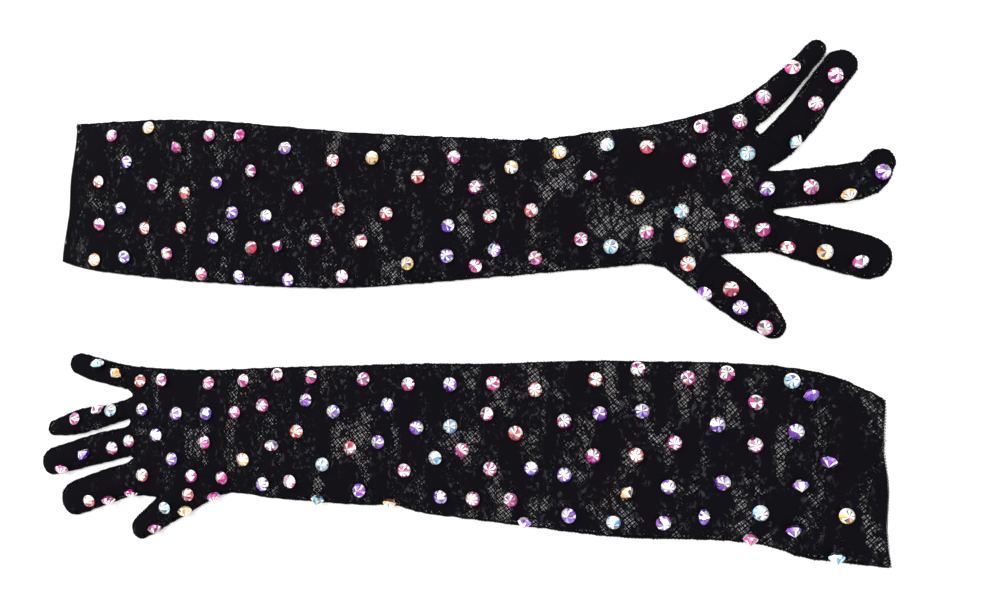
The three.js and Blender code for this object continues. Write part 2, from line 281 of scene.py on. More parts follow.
def wave(x, y, length, seed):
    """Smooth noise from -1 to 1 with waves of about the given length."""
    return noise.noise(Vector((x / length, y / length, seed)))


def is_cuff_edge(edge):
    """The open mouth of the sleeve, which runs across the arm."""
    run = edge.verts[1].co - edge.verts[0].co
    return edge.link_faces[0].material_index == 0 and abs(run.y) > abs(run.x)


def seam_edges(flat, regions):
    found = [e for e in flat.edges if e.is_boundary and not is_cuff_edge(e)]
    return [e for e in found if e.link_faces[0].material_index in regions]


def inward_of(edge):
    """The direction from a boundary edge into the cloth."""
    along = (edge.verts[1].co - edge.verts[0].co).normalized()
    across = Vector((-along.y, along.x, 0))
    to_cloth = edge.link_faces[0].calc_center_median() - edge.verts[0].co
    return across if across.dot(to_cloth) > 0 else -across


def seam_samples(flat):
    """Points along the seams in a k-d tree, and the inward direction at each point."""
    edges = seam_edges(flat, range(len(REGIONS)))
    tree = kdtree.KDTree(len(edges) * SEAM_SAMPLES)
    inward = []
    for edge in edges:
        for i in range(SEAM_SAMPLES):
            tree.insert(edge.verts[0].co.lerp(edge.verts[1].co, i / SEAM_SAMPLES), len(inward))
            inward.append(inward_of(edge))
    tree.balance()
    return tree, inward


seams = {glove: seam_samples(flat) for glove, flat in blanks.items()}


def seam_near(glove, co):
    """How far a flat point is from the nearest seam, and which way leads away from that seam."""
    tree, inward = seams[glove]
    found = tree.find_n(Vector((co.x, co.y, 0)), 5)
    away = sum((inward[number] for _, number, _ in found), Vector((0, 0, 0)))
    return found[0][2], away.normalized()


CUFF_BOXES = {glove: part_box(f"{glove}_cuff_hem") for glove in GLOVES}
CUFF_X = {"left": CUFF_BOXES["left"][0].x, "right": CUFF_BOXES["right"][1].x}  # the open ends
CUFF_SLIP = {"left": 2.8 * MM, "right": 1.6 * MM}  # how far the back falls short of the palm
SLIP_PLACE = 0.33  # of the cuff's width
SLIP_WIDTH = 0.16  # of the cuff's width
SLIP_DEPTH = 9 * MM


def laid_point(glove, co, layer):
    """Where a point of the flat blank comes to lie, in the back or the palm layer."""
    from_seam, away = seam_near(glove, co)
    inset = away * SEAM_INSET * math.exp(-from_seam / INSET_FADE)
    x, y = co.x + inset.x, co.y + inset.y
    low, high = CUFF_BOXES[glove]
    from_cuff = abs(x - CUFF_X[glove])
    edge = math.exp(-from_seam / EDGE_FADE)
    x += WOBBLE * edge * wave(co.x, co.y, 4 * MM, 3.1)
    y += WOBBLE * edge * wave(co.x, co.y, 3 * MM, 7.7)
    seam = SEAM_HEIGHT + SEAM_WANDER * wave(co.x, co.y, 38 * MM, 1.3)
    if layer == "palm":
        return Vector((x, y, TABLE_GAP + (seam - TABLE_GAP) * math.exp(-from_seam / PALM_REACH)))
    across = (co.y - low.y) / (high.y - low.y) - SLIP_PLACE
    slip = CUFF_SLIP[glove] * math.exp(-((across / SLIP_WIDTH) ** 2))
    slip *= math.exp(-from_cuff / SLIP_DEPTH)
    x += slip * TO_FINGERS[glove] * (1 - edge)
    rise = 1 - math.exp(-from_seam / ARCH_REACH)
    arch = ARCH * (0.4 + 0.6 * ease(from_cuff / CUFF_REACH))
    long_wave = wave(co.x, 1.6 * co.y, 46 * MM, 0.4)
    long_wave += 0.55 * wave(co.x + 0.7 * co.y, co.y, 19 * MM, 5.2)
    small = 0.2 * wave(co.x, co.y, 7 * MM, 9.6)
    pucker = math.exp(-from_seam / PUCKER_REACH) * wave(co.x, co.y, 6 * MM, 2.6)
    lift = arch * rise + (WAVE * (long_wave + small) + PUCKER * pucker) * rise
    return Vector((x, y, seam + lift))


# %% [markdown]
# The blank is copied twice, once for each layer. The palm's copy is turned over, so that its
# faces look down at the table, and the seam vertices of the two are welded. Two things are kept
# from the cutting table, because the lace pattern must not slide when the glove is folded: UV
# maps that hold each corner's flat place in metres, and the distance from the seam. The second
# UV map is for the net alone. It is turned and stretched on the palm, because two nets never
# lie exactly one over the other, and their crossing makes the blocks that such lace shows.

# %% Two layers, sewn along the sides
NET_TURN = math.radians(8)  # the palm's net doesn't lie exactly under the back's
PALM_MESH = 0.65  # threads of the palm's net for each of the back's, as it is stretched wider


def layer_of(glove, flat, layer):
    bm = flat.copy()
    pattern = bm.loops.layers.uv.new("flat_place")
    net = bm.loops.layers.uv.new("net_place")
    from_seam = bm.verts.layers.float.new("from_seam")
    turn = Matrix.Rotation(NET_TURN, 2) * PALM_MESH if layer == "palm" else Matrix.Identity(2)
    for f in bm.faces:
        f.smooth = True
        for loop in f.loops:
            loop[pattern].uv = loop.vert.co.xy
            loop[net].uv = turn @ loop.vert.co.xy
    places = []
    for v in bm.verts:
        v[from_seam] = seam_near(glove, v.co)[0]
        places.append(laid_point(glove, v.co, layer))
    for v, place in zip(bm.verts, places):
        v.co = place
    if layer == "palm":
        bmesh.ops.reverse_faces(bm, faces=bm.faces)
    mesh = bpy.data.meshes.new(layer)
    bm.to_mesh(mesh)
    bm.free()
    return mesh


def sewn_skin(glove, flat):
    skin = bmesh.new()
    for layer in ("back", "palm"):
        mesh = layer_of(glove, flat, layer)
        skin.from_mesh(mesh)
        bpy.data.meshes.remove(mesh)
    from_seam = skin.verts.layers.float["from_seam"]
    seam = [v for v in skin.verts if v[from_seam] < 0.01 * MM]
    bmesh.ops.remove_doubles(skin, verts=seam, dist=0.02 * MM)
    skin.normal_update()
    return skin


skins = {glove: sewn_skin(glove, flat) for glove, flat in blanks.items()}
for glove, skin in skins.items():
    top = max(v.co.z for v in skin.verts)
    print(glove, "skin:", len(skin.faces), "faces, top", round(top / MM, 1), "mm")

# %% [markdown]
# ## The lace
#
# Stretch lace is knitted in one piece: dense leaves and petals, and between them a fine net of
# threads about 1.5 mm apart. Thicker cords run across the net as veins. Where the nets of both
# layers lie over each other, the white table shows through as grey mesh. Everywhere else two
# layers of dense knitting are simply black.
#
# The pattern is a shader node group, because the cuff, the arm and the fingers all use it with
# different openness. It reads flat millimetres and gives a mask of thread, a colour and a height.
# The mask feeds Alpha, so that the holes are real holes to the light.

# %% A helper for building node groups
def new_group(name, inputs, outputs):
    """An empty group with named sockets. Each socket is (name, kind, default or None)."""
    group = bpy.data.node_groups.new(name, "ShaderNodeTree")
    for in_out, sockets in (("INPUT", inputs), ("OUTPUT", outputs)):
        for socket_name, kind, default in sockets:
            kind = "NodeSocket" + kind
            socket = group.interface.new_socket(socket_name, in_out=in_out, socket_type=kind)
            if default is not None:
                socket.default_value = default
    return group, group.nodes.new("NodeGroupInput"), group.nodes.new("NodeGroupOutput")


def plug(tree, socket, value):
    """Links a socket to another socket, or sets it to a plain value."""
    if isinstance(value, bpy.types.NodeSocket):
        tree.links.new(value, socket)
    else:
        socket.default_value = value


def math_node(tree, operation, a, b=0.0, c=0.0, clamp=False):
    node = tree.nodes.new("ShaderNodeMath")
    node.operation = operation
    node.use_clamp = clamp
    for socket, value in zip(node.inputs, (a, b, c)):
        plug(tree, socket, value)
    return node.outputs[0]


def stretch(tree, vector, scale, move=(0, 0, 0)):
    """The vector times a scale, plus a move."""
    node = tree.nodes.new("ShaderNodeVectorMath")
    node.operation = "MULTIPLY_ADD"
    plug(tree, node.inputs[0], vector)
    plug(tree, node.inputs[1], scale)
    plug(tree, node.inputs[2], move)
    return node.outputs[0]


def noise_of(tree, vector, scale, detail=2.0, distortion=0.0):
    node = tree.nodes.new("ShaderNodeTexNoise")
    plug(tree, node.inputs["Vector"], vector)
    node.inputs["Scale"].default_value = scale
    node.inputs["Detail"].default_value = detail
    node.inputs["Distortion"].default_value = distortion
    return node.outputs["Fac"]


def cell_edges(tree, vector, scale, randomness):
    """Distance to the nearest border of a field of cells."""
    node = tree.nodes.new("ShaderNodeTexVoronoi")
    node.feature = "DISTANCE_TO_EDGE"
    plug(tree, node.inputs["Vector"], vector)
    node.inputs["Scale"].default_value = scale
    node.inputs["Randomness"].default_value = randomness
    return node.outputs["Distance"]


def ramp(tree, value, low, high, to_low=0.0, to_high=1.0):
    """Maps a value smoothly from one range to another."""
    node = tree.nodes.new("ShaderNodeMapRange")
    node.interpolation_type = "SMOOTHSTEP"
    for socket, number in zip(node.inputs[:5], (value, low, high, to_low, to_high)):
        plug(tree, socket, number)
    return node.outputs[0]


def mix_colours(tree, share, a, b):
    node = tree.nodes.new("ShaderNodeMix")
    node.data_type = "RGBA"
    plug(tree, node.inputs[0], share)
    plug(tree, node.inputs[6], a)
    plug(tree, node.inputs[7], b)
    return node.outputs[2]


# %% The lace pattern
PATCH = 22.0  # size of a bare patch, in millimetres, as all lengths in this group
BIT = 5.0  # size of the bits that a patch breaks up into
NET_PITCH = 1.5
HALF_THREAD = 0.105  # of the pitch
CORD_CELL = 10.0
DRIFT = 9.0  # over which the net wanders
SMUDGE = 3.6
FIBRE = 0.625
FRINGE = (0.9, 1.1, 2.7, 3.1)  # distances from the seam between which the fringe comes and goes
FRINGE_STRETCH = 7.0
BLACK_YARN = (0.002, 0.0017, 0.0027, 1)
WORN_YARN = (0.0045, 0.004, 0.0056, 1)
GREY_LOOPS = (0.026, 0.025, 0.029, 1)
NET_YARN = (0.007, 0.0065, 0.008, 1)


def to_next(tree, value):
    """Distance to the nearest whole number."""
    return math_node(tree, "PINGPONG", value, 0.5)


def lace_group():
    group, given, made = new_group(
        "lace_pattern",
        [
            ("Place", "Vector", None),
            ("Net Place", "Vector", None),
            ("Openness", "Float", 0.0),
            ("From Seam", "Float", 1.0),
        ],
        [("Thread", "Float", None), ("Colour", "Color", None), ("Height", "Float", None)],
    )
    place = stretch(group, given.outputs["Place"], (1000, 1000, 1000))
    patch = noise_of(group, stretch(group, place, (1.6, 0.65, 1)), 1 / PATCH, 1.0, 0.4)
    bit = noise_of(group, stretch(group, place, (1.2, 0.8, 1)), 1 / BIT, 2.0, 0.2)
    bare = math_node(group, "MULTIPLY_ADD", patch, 0.6, math_node(group, "MULTIPLY", bit, 0.4))
    bare = ramp(group, math_node(group, "ADD", bare, given.outputs["Openness"]), 0.535, 0.552)
    cord = ramp(group, cell_edges(group, place, 1 / CORD_CELL, 1.0), 0.02, 0.035)

    # The net is two sets of threads that cross at right angles, at 45 degrees to the arm.
    drift = noise_of(group, place, 1 / DRIFT, 1.0)
    net_place = stretch(group, given.outputs["Net Place"], (1000, 1000, 1000))
    parts = group.nodes.new("ShaderNodeSeparateXYZ")
    group.links.new(net_place, parts.inputs[0])
    slant = 1 / (NET_PITCH * math.sqrt(2))
    x, y = parts.outputs["X"], parts.outputs["Y"]
    rising = math_node(group, "MULTIPLY", math_node(group, "ADD", x, y), slant)
    falling = math_node(group, "MULTIPLY", math_node(group, "SUBTRACT", x, y), slant)
    rising = to_next(group, math_node(group, "MULTIPLY_ADD", drift, 0.9, rising))
    falling = to_next(group, math_node(group, "MULTIPLY_ADD", drift, -0.7, falling))
    net = math_node(group, "MINIMUM", rising, falling)
    half_thread = ramp(group, bare, 0.0, 1.0, 0.5, HALF_THREAD)
    hole = ramp(group, math_node(group, "SUBTRACT", net, half_thread), 0.0, 0.03)
    hole = math_node(group, "MULTIPLY", hole, cord)

    # Along the stitched edge the net shows in short stretches.
    seam_mm = math_node(group, "MULTIPLY", given.outputs["From Seam"], 1000.0)
    starts = ramp(group, seam_mm, *FRINGE[:2])
    fringe = math_node(group, "MULTIPLY", starts, ramp(group, seam_mm, *FRINGE[2:], 1.0, 0.0))
    stretches = ramp(group, noise_of(group, place, 1 / FRINGE_STRETCH, 2.0), 0.52, 0.58)
    stretches = math_node(group, "MULTIPLY", stretches, ramp(group, net, 0.1, 0.16))
    fringe = math_node(group, "MULTIPLY", fringe, stretches)
    openings = math_node(group, "MAXIMUM", hole, fringe)
    thread = math_node(group, "SUBTRACT", 1.0, openings, clamp=True)

    # Knitted thread is nearly black. Loose fibres and shallow loops show as grey smudges.
    fibre = noise_of(group, place, 1 / FIBRE, 3.0)
    smudge = noise_of(group, stretch(group, place, (1.2, 0.9, 1)), 1 / SMUDGE, 2.0, 0.6)
    smudge = ramp(group, smudge, 0.54, 0.7)
    near_patch = math_node(group, "MULTIPLY_ADD", given.outputs["Openness"], 2.0, patch)
    smudge = math_node(group, "MULTIPLY", smudge, ramp(group, near_patch, 0.4, 0.52))
    dark = mix_colours(group, fibre, BLACK_YARN, WORN_YARN)
    dark = mix_colours(group, smudge, dark, GREY_LOOPS)
    colour = mix_colours(group, bare, dark, NET_YARN)
    height = math_node(group, "MULTIPLY_ADD", smudge, 0.3, math_node(group, "MULTIPLY", fibre, 0.6))
    group.links.new(thread, made.inputs["Thread"])
    group.links.new(colour, made.inputs["Colour"])
    group.links.new(height, made.inputs["Height"])
    return group


LACE_PATTERN = lace_group()


def new_material(name):
    material = bpy.data.materials.new(name)
    material.use_nodes = True
    tree = material.node_tree
    shader = tree.nodes.get("Principled BSDF")
    return material, tree, shader


def lace_material(name, openness):
    """Lace whose net is more or less open, by the piece's own flat place and seam distance."""
    material, tree, shader = new_material(name)
    place = tree.nodes.new("ShaderNodeUVMap")
    place.uv_map = "flat_place"
    net = tree.nodes.new("ShaderNodeUVMap")
    net.uv_map = "net_place"
    seam = tree.nodes.new("ShaderNodeAttribute")
    seam.attribute_name = "from_seam"
    lace = tree.nodes.new("ShaderNodeGroup")
    lace.node_tree = LACE_PATTERN
    plug(tree, lace.inputs["Place"], place.outputs[0])
    plug(tree, lace.inputs["Net Place"], net.outputs[0])
    plug(tree, lace.inputs["From Seam"], seam.outputs["Fac"])
    lace.inputs["Openness"].default_value = openness
    bump = tree.nodes.new("ShaderNodeBump")
    bump.inputs["Strength"].default_value = 0.6
    bump.inputs["Distance"].default_value = 0.35 * MM
    plug(tree, bump.inputs["Height"], lace.outputs["Height"])
    plug(tree, shader.inputs["Base Color"], lace.outputs["Colour"])
    plug(tree, shader.inputs["Alpha"], lace.outputs["Thread"])
    plug(tree, shader.inputs["Normal"], bump.outputs[0])
    shader.inputs["Roughness"].default_value = 0.9
    shader.inputs["Specular IOR Level"].default_value = 0.03
    return material


ARM_LACE = lace_material("arm_lace", 0.0)
FINGER_LACE = lace_material("finger_lace", -0.06)
CUFF_LACE = lace_material("cuff_lace", -0.03)

# %% [markdown]
# ## From one skin to separate pieces
#
# A joint moves a body, so the skin is divided where the joints are: the cuff, the arm, and each
# finger. The pieces meet at shared points. The bend is short: the stones beside it are hard and
# keep to their own side.

# %% Pieces of skin
CLOTH_THICK = 0.3 * MM


def add_object(name, mesh, material, smooth=False):
    mesh.name = name
    obj = bpy.data.objects.new(name, mesh)
    bpy.context.scene.collection.objects.link(obj)
    mesh.materials.clear()
    mesh.materials.append(material)
    if smooth:
        mesh.shade_smooth()
    return obj


def bake_modifiers(obj):
    """Replaces an object's mesh by what its modifiers make of it."""
    seen = obj.evaluated_get(bpy.context.evaluated_depsgraph_get())
    made = bpy.data.meshes.new_from_object(seen)
    obj.modifiers.clear()
    old, obj.data = obj.data, made
    made.name = obj.name
    bpy.data.meshes.remove(old)


def cloth_piece(name, skin, regions, material):
    """The part of a skin in these regions, as cloth with a thickness."""
    bm = skin.copy()
    numbers = [REGIONS.index(region) for region in regions]
    others = [f for f in bm.faces if f.material_index not in numbers]
    bmesh.ops.delete(bm, geom=others, context="FACES")
    for f in bm.faces:
        f.material_index = 0
    area = sum(f.calc_area() for f in bm.faces)
    mesh = bpy.data.meshes.new(name)
    bm.to_mesh(mesh)
    bm.free()
    obj = add_object(name, mesh, material)
    wall = obj.modifiers.new("wall", "SOLIDIFY")
    wall.thickness = CLOTH_THICK
    wall.offset = -1
    bake_modifiers(obj)
    return obj, area


def bend(obj, joint, reach_before, reach_after):
    """Bends a piece across a joint, along the direction that its child body starts in."""
    hinge = joints[joint]
    centre = Vector(hinge["pos_m"])
    along = Vector((0, 0, 1)).cross(Vector(hinge["axis"]))
    start, end = centre - along * reach_before, centre + along * reach_after
    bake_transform(obj, hinge["parent"], hinge["child"], start=start, end=end)


def bend_for(obj, glove, region):
    if region == "arm":
        bend(obj, f"{glove}_arm_fold", ARM_BEND, ARM_BEND)
    else:
        bend(obj, f"{glove}_{region}_fold", 0, FINGER_BEND)


def arm_nodes(glove, names):
    """The nodes of these names in a glove's sleeve and hand."""
    return [f"{glove}_{part}_{name}" for part in ("sleeve", "hand") for name in names]


cloth = {}
for glove, skin in skins.items():
    cuff, area = cloth_piece(f"{glove}_cuff_lace", skin, ["cuff"], CUFF_LACE)
    cloth[glove, "cuff"] = cuff, area
    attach(cuff, f"{glove}_sleeve")
    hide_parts(f"{glove}_cuff_hem")
    arm, area = cloth_piece(f"{glove}_arm_lace", skin, ["sleeve", "hand"], ARM_LACE)
    cloth[glove, "arm"] = arm, area
    bend_for(arm, glove, "arm")
    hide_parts(*arm_nodes(glove, ("back_panel", "palm_panel")))
    for finger in FINGERS:
        piece, area = cloth_piece(f"{glove}_{finger}_lace", skin, [finger], FINGER_LACE)
        cloth[glove, finger] = piece, area
        bend_for(piece, glove, finger)
        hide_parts(f"{glove}_{finger}_back", f"{glove}_{finger}_palm")
for (glove, region), (obj, area) in cloth.items():
    print(obj.name, len(obj.data.polygons), "faces,", round(area * 1e4, 1), "cm2 in two layers")

# %% [markdown]
# ## The stitched edges
#
# Both layers are closed by an overlock stitch, in which a thread winds round and round the raw
# edge. Each seam here is two tubes: a bead of caught cloth, and the winding thread round it. The
# route is the blank's own outline, followed from vertex to vertex and laid down like the cloth.

# %% Seams along the outline
BEAD_RADIUS = 0.5 * MM
STITCH_THREAD = 0.2 * MM
STITCH_PITCH = 2.1 * MM
STITCH_STEPS = 8  # points in each turn of thread
STITCH_LIFT = 0.55 * MM  # from the middle of the bead to the middle of the thread


def chains(edges):
    """Puts loose edges in order: each run is a list of vertices from one end to the other."""
    beside = {}
    for e in edges:
        for v in e.verts:
            beside.setdefault(v, []).append(e.other_vert(v))
    runs, used = [], set()
    for start in [v for v, others in beside.items() if len(others) == 1]:
        if start in used:
            continue
        run = [start]
        used.add(start)
        while ahead := [v for v in beside[run[-1]] if v not in used]:
            run.append(ahead[0])
            used.add(ahead[0])
        runs.append(run)
    return runs


def evenly(points, step):
    """Points at equal steps along a line."""
    made, left = [points[0]], step
    for a, b in zip(points, points[1:]):
        length = (b - a).length
        while left <= length:
            made.append(a.lerp(b, left / length))
            left += step
        left -= length
    return made


def softened(points, times=2):
    """Takes the corners off a line. Its ends stay."""
    for _ in range(times):
        inner = [(a + b * 2 + c) / 4 for a, b, c in zip(points, points[1:], points[2:])]
        points = [points[0], *inner, points[-1]]
    return points


def wound(points, radius, turn_steps):
    """A thread that winds round a line of points."""
    made = []
    for i, (a, b) in enumerate(zip(points, points[1:])):
        side = (b - a).cross(Vector((0, 0, 1))).normalized()
        angle = 2 * math.pi * i / turn_steps
        reach = radius * (1 + 0.8 * noise.noise(a / (2.5 * MM)))
        made.append(a + side * math.cos(angle) * reach + Vector((0, 0, math.sin(angle) * reach)))
    return made


def tubes(lines, radius, rings=2):
    """A mesh of round tubes along lines of points."""
    curve = bpy.data.curves.new("tubes", "CURVE")
    curve.dimensions = "3D"
    curve.bevel_depth = radius
    curve.bevel_resolution = rings - 1
    curve.use_fill_caps = True
    for line in lines:
        spline = curve.splines.new("POLY")
        spline.points.add(len(line) - 1)
        for point, place in zip(spline.points, line):
            point.co = (*place, 1)
    holder = bpy.data.objects.new("tubes", curve)
    bpy.context.scene.collection.objects.link(holder)
    seen = holder.evaluated_get(bpy.context.evaluated_depsgraph_get())
    mesh = bpy.data.meshes.new_from_object(seen)
    bpy.data.objects.remove(holder)
    bpy.data.curves.remove(curve)
    return mesh


def joined(name, meshes, material, smooth=True):
    bm = bmesh.new()
    for mesh in meshes:
        bm.from_mesh(mesh)
        bpy.data.meshes.remove(mesh)
    for f in bm.faces:
        f.material_index = 0
    bmesh.ops.recalc_face_normals(bm, faces=bm.faces)
    mesh = bpy.data.meshes.new(name)
    bm.to_mesh(mesh)
    bm.free()
    return add_object(name, mesh, material, smooth)


def thread_material():
    """Black polyester thread. Single fibres are painted lighter: a painted highlight where they catch the
    light.
    """
    material, tree, shader = new_material("seam_thread")
    where = tree.nodes.new("ShaderNodeTexCoord").outputs["Object"]
    fibres = noise_of(tree, where, 1700.0, 2.0)
    clumps = noise_of(tree, where, 90.0, 2.0)
    bump = tree.nodes.new("ShaderNodeBump")
    bump.inputs["Strength"].default_value = 0.5
    bump.inputs["Distance"].default_value = 0.2 * MM
    plug(tree, bump.inputs["Height"], fibres)
    dark = mix_colours(tree, clumps, (0.0015, 0.0012, 0.002, 1), (0.005, 0.0045, 0.006, 1))
    # Painted highlight: single fibres get a lighter colour where they would catch the light.
    colour = mix_colours(tree, ramp(tree, fibres, 0.5, 0.8), dark, (0.014, 0.013, 0.016, 1))
    plug(tree, shader.inputs["Base Color"], colour)
    plug(tree, shader.inputs["Normal"], bump.outputs[0])
    shader.inputs["Roughness"].default_value = 0.8
    shader.inputs["Specular IOR Level"].default_value = 0.08
    return material


SEAM_THREAD = thread_material()


def seam_line(glove, run):
    points = [laid_point(glove, v.co, "palm") for v in run]
    return softened(evenly(points, STITCH_PITCH / STITCH_STEPS), 6)


def seam_piece(name, glove, regions):
    edges = seam_edges(blanks[glove], [REGIONS.index(region) for region in regions])
    lines = [seam_line(glove, run) for run in chains(edges)]
    lines = [line for line in lines if len(line) > 3 * STITCH_STEPS]
    beads = tubes([line[:: STITCH_STEPS // 2] for line in lines], BEAD_RADIUS)
    threads = tubes([wound(line, STITCH_LIFT, STITCH_STEPS) for line in lines], STITCH_THREAD, 1)
    return joined(name, [beads, threads], SEAM_THREAD), lines


for glove in GLOVES:
    seam, lines = seam_piece(f"{glove}_arm_seam", glove, ["cuff", "sleeve", "hand"])
    bend_for(seam, glove, "arm")
    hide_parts(*arm_nodes(glove, ("outer_seam", "thumb_seam")))
    print(seam.name, len(lines), "runs,", len(seam.data.polygons), "faces")
    for finger in FINGERS:
        seam, lines = seam_piece(f"{glove}_{finger}_seam", glove, [finger])
        bend_for(seam, glove, finger)

# %% [markdown]
# ## The cuffs
#
# The mouth of the sleeve isn't sewn. It ends in the lace's own finished edge, where the knitting
# threads turn back in small loops. Each layer gets a row of such loops. At one corner the seam's
# thread was left long, and its ends lie in a loose tuft.

# %% Loops and loose threads at the cuff
LOOP_PITCH = 1.7 * MM
LOOP_DEPTH = 0.75 * MM
LOOP_THREAD = 0.2 * MM
THREAD_STEP = 0.4 * MM
TUFTS = {"left": (0.0, 16), "right": (0.25, 9)}  # share of the edge's length, and number of ends
TUFT_THREAD = 0.09 * MM


def cuff_line(glove, layer):
    """The open edge of one layer, from the outer seam to the thumb seam."""
    flat = blanks[glove]
    edges = [e for e in flat.edges if e.is_boundary and is_cuff_edge(e)]
    run = max(chains(edges), key=len)
    points = [laid_point(glove, v.co, layer) for v in run]
    return evenly(softened(points), LOOP_PITCH / 6)


def loops(points, outwards, depth):
    """A thread that swings out past an edge and back, once in every six points."""
    made = []
    for i, point in enumerate(points):
        swing = math.sin(2 * math.pi * i / 6)
        lean = math.sin(4 * math.pi * i / 6)
        size = depth * (1 + 0.5 * noise.noise(point / (4 * MM)))
        made.append(point + Vector((outwards * swing * size, lean * size * 0.3, 0.15 * MM * swing)))
    return made


def loose_thread(start, heading, length, rng):
    """One end of thread that curls as it lies at the edge."""
    points, place, turning = [start], start.copy(), rng.uniform(-1, 1)
    for _ in range(int(length / THREAD_STEP)):
        turning += rng.uniform(-0.5, 0.5)
        heading += turning * 0.4
        fall = (0.4 * MM - place.z) * 0.12
        step = Vector((math.cos(heading) * THREAD_STEP, math.sin(heading) * THREAD_STEP, fall))
        place = place + step
        points.append(place)
    return points


rng = random.Random(31)
for glove in GLOVES:
    out = -TO_FINGERS[glove]
    edges = [cuff_line(glove, layer) for layer in ("back", "palm")]
    looped = tubes([loops(edge, out, LOOP_DEPTH) for edge in edges] + edges, LOOP_THREAD, 1)
    down = sorted(edges[0], key=lambda point: -point.y)
    share, ends = TUFTS[glove]
    knot = down[int(share * len(down))]
    tuft = []
    for _ in range(ends):
        spread = (rng.uniform(-0.6, 0.6), rng.uniform(-1.2, 1.2), rng.uniform(-0.5, 0.3))
        start = knot + Vector(spread) * MM
        heading = (0 if out > 0 else math.pi) + rng.uniform(-1.5, 1.5)
        tuft.append(loose_thread(start, heading, rng.uniform(2, 5) * MM, rng))
    edging = joined(f"{glove}_cuff_edging", [looped, tubes(tuft, TUFT_THREAD, 1)], SEAM_THREAD)
    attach(edging, f"{glove}_sleeve")
    print(edging.name, ends, "loose ends,", len(edging.data.polygons), "faces")

# %% [markdown]
# ## The crystals
#
# The stones are pointed-back crystals, set upside down: the flat table is glued to the lace and
# the pavilion points up like a small star. A cutter starts from a blank and grinds one plane
# after another, and so does this cell. It starts from a round prism. `bisect_plane` takes off
# everything outside each plane, and the open cut is closed with one face.
#
# Eight broad facets meet at the tip. The edge between two of them is ground down to a sliver,
# which is painted as a thin ray: mostly a painted dark reflection, else a painted glint or the
# coat's colour. Sixteen steeper facets go round the rim. Each kind of facet keeps a number as its
# material index, because the kinds are coloured differently.

# %% Cutting one stone
STONE_RADIUS = 4.3 * MM
TABLE_RADIUS = 2.6 * MM
CROWN = 2.1 * MM  # from the table to the girdle
PAVILION = 3.9 * MM  # from the girdle to the point
GIRDLE = 0.1 * MM
MAINS = 8
RIM_START = 0.78  # of the radius, where the rim facets begin
MAIN_DROP = 3.35 * MM  # how far a broad facet falls from the tip to the girdle's radius
BACK, MAIN, RAY, RIM = range(4)  # kinds of facet
FLAT_RADIUS = STONE_RADIUS * math.cos(math.pi / (2 * MAINS))


def grind(stone, point, angle, slope, kind):
    """Takes off what is outside a plane, and closes the cut with one facet."""
    outwards = Vector((math.cos(angle), math.sin(angle), 0))
    place = outwards * point[0] + Vector((0, 0, point[1]))
    normal = outwards * math.sin(slope) + Vector((0, 0, math.cos(slope)))
    cut = bmesh.ops.bisect_plane(
        stone, geom=whole(stone), plane_co=place, plane_no=normal, clear_outer=True, dist=1e-7
    )
    edges = [g for g in cut["geom_cut"] if isinstance(g, bmesh.types.BMEdge)]
    if len(edges) > 2:
        for facet in bmesh.ops.contextual_create(stone, geom=edges)["faces"]:
            facet.material_index = kind


def cut_stone(seed):
    rng = random.Random(seed)
    height = CROWN + PAVILION
    stone = bmesh.new()
    sides = {"segments": 2 * MAINS, "radius1": STONE_RADIUS, "radius2": STONE_RADIUS}
    bmesh.ops.create_cone(stone, cap_ends=True, depth=height, **sides)
    bmesh.ops.translate(stone, verts=stone.verts, vec=(0, 0, height / 2))
    step = 2 * math.pi / MAINS
    main_slope = math.atan2(MAIN_DROP, FLAT_RADIUS)
    crown_slope = math.pi - math.atan2(CROWN, STONE_RADIUS - TABLE_RADIUS)
    rim_fall = PAVILION - GIRDLE - MAIN_DROP * RIM_START
    rim_slope = math.atan2(rim_fall, FLAT_RADIUS * (1 - RIM_START))
    for i in range(MAINS):
        grind(stone, (FLAT_RADIUS, CROWN), i * step, crown_slope, BACK)
    for i in range(MAINS):
        grind(stone, (0, height), i * step, main_slope, MAIN)
    for i in range(MAINS):
        sliver = math.atan(math.tan(main_slope) * rng.uniform(0.945, 0.985))
        grind(stone, (0, height), (i + 0.5) * step, sliver, RAY)
    for i in range(2 * MAINS):
        grind(stone, (FLAT_RADIUS, CROWN + GIRDLE), (i + 0.5) * step / 2, rim_slope, RIM)
    stone.normal_update()
    return stone


STONES = [cut_stone(seed) for seed in range(4)]
print("stone:", len(STONES[0].faces), "facets")

# %% [markdown]
# ## The coat on the stones, and their painted highlights
#
# Such a stone has a coat of foil and of metal vapour, and every facet sends back another colour.
# Each stone gets its own palette, with a colour for each facet that is stored on its corners.
# Broad facets are mostly painted white on the side towards the lamp: a painted highlight. A share
# of the stones has painted highlights on its broad facets all round. The rays between them are
# painted dark reflections and painted bright glints. The rim has the strongest coat colour, on the
# side away from the lamp, and painted highlights on the side towards it.

# %% Colours of the facets
# Painted highlights, painted dark reflections and painted glints. The coats below are the stones' own
# colours.
HIGHLIGHT_WHITES = ((1, 1, 0.98), (1, 1, 1), (0.98, 0.94, 0.82), (0.82, 0.97, 0.88), (0.99, 0.84, 0.9))
DARK_REFLECTIONS = ((0.02, 0.004, 0.02), (0.06, 0.045, 0), (0.01, 0.01, 0.05), (0.1, 0, 0.04), (0.02, 0.06, 0.05))
GLINTS = ((0.95, 0.7, 0.05), (0.1, 0.6, 0.45), (0.08, 0.3, 0.9), (0.9, 0.08, 0.3), (0.5, 0.75, 0.1))
MAGENTA = ((0.5, 0.0, 0.2), (0.7, 0.02, 0.3), (0.3, 0.0, 0.22), (0.8, 0.15, 0.45))
RED = ((0.65, 0.01, 0.04), (0.75, 0.06, 0.08), (0.45, 0.0, 0.1), (0.85, 0.2, 0.2))
